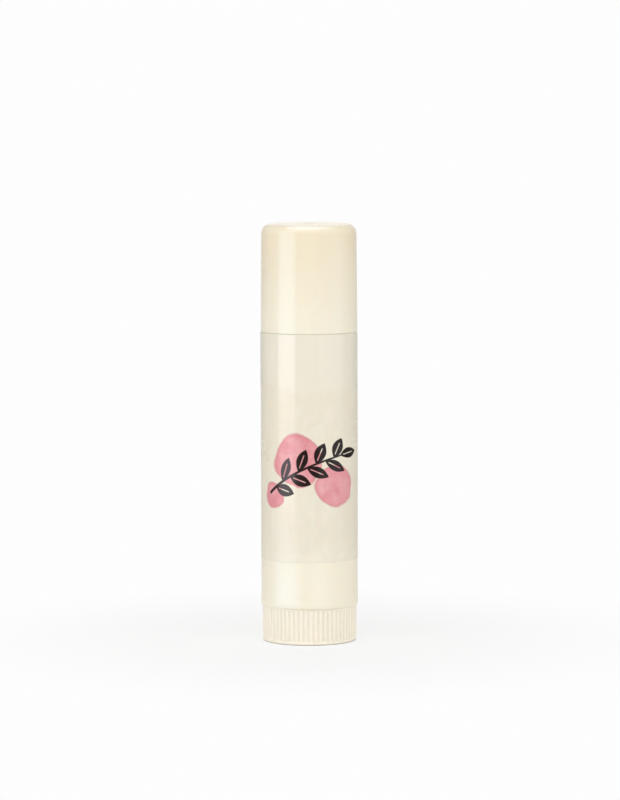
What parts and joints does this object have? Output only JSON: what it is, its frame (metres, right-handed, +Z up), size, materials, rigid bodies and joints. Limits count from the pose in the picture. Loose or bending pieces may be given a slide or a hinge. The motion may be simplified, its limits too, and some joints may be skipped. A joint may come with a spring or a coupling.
{
  "type": "twist-up lip balm stick",
  "caption": "Round twist-up lip balm tube with a slip-on cap, a clear wrap label and a ribbed dial whose screw lifts the balm out of the barrel.",
  "frame": {"origin": "centre of the dial's flat foot, on the surface that the stick stands on", "axes": "+Z up the tube's axis from the foot to the cap's flat top; -Y faces out of the front of the label; the barrel's two keys lie along +X and -X"},
  "size_m": [0.0162, 0.0162, 0.0688],
  "materials": {
    "cream_plastic": "smooth cream polypropylene with a soft gloss",
    "natural_plastic": "undyed polypropylene, milky and slightly rough",
    "balm": "pale yellow wax with a soft sheen",
    "label_film": "clear printed film with a glossy face"
  },
  "bodies": {
    "barrel": {"barrel": "cream_plastic", "wrap_label": "label_film"},
    "dial": {"twist_dial": "cream_plastic", "lead_screw": "natural_plastic"},
    "elevator": {"elevator_cup": "natural_plastic", "balm_stick": "balm"},
    "cap": {"cap": "cream_plastic"}
  },
  "joints": [
    {"name": "dial_turn", "type": "hinge", "parent": "barrel", "child": "dial", "pos_m": [0, 0, 0], "axis": [0, 0, 1], "range_deg": [-3420, 900]},
    {"name": "elevator_rise", "type": "slide", "parent": "barrel", "child": "elevator", "axis": [0, 0, 1], "range_m": [-0.0304, 0.008]},
    {"name": "cap_pull", "type": "slide", "parent": "barrel", "child": "cap", "axis": [0, 0, 1], "range_m": [0, 0.03]}
  ],
  "couplings": [
    {"joint": "dial_turn", "follows": "elevator_rise", "rad_per_m": 1963.5}
  ]
}
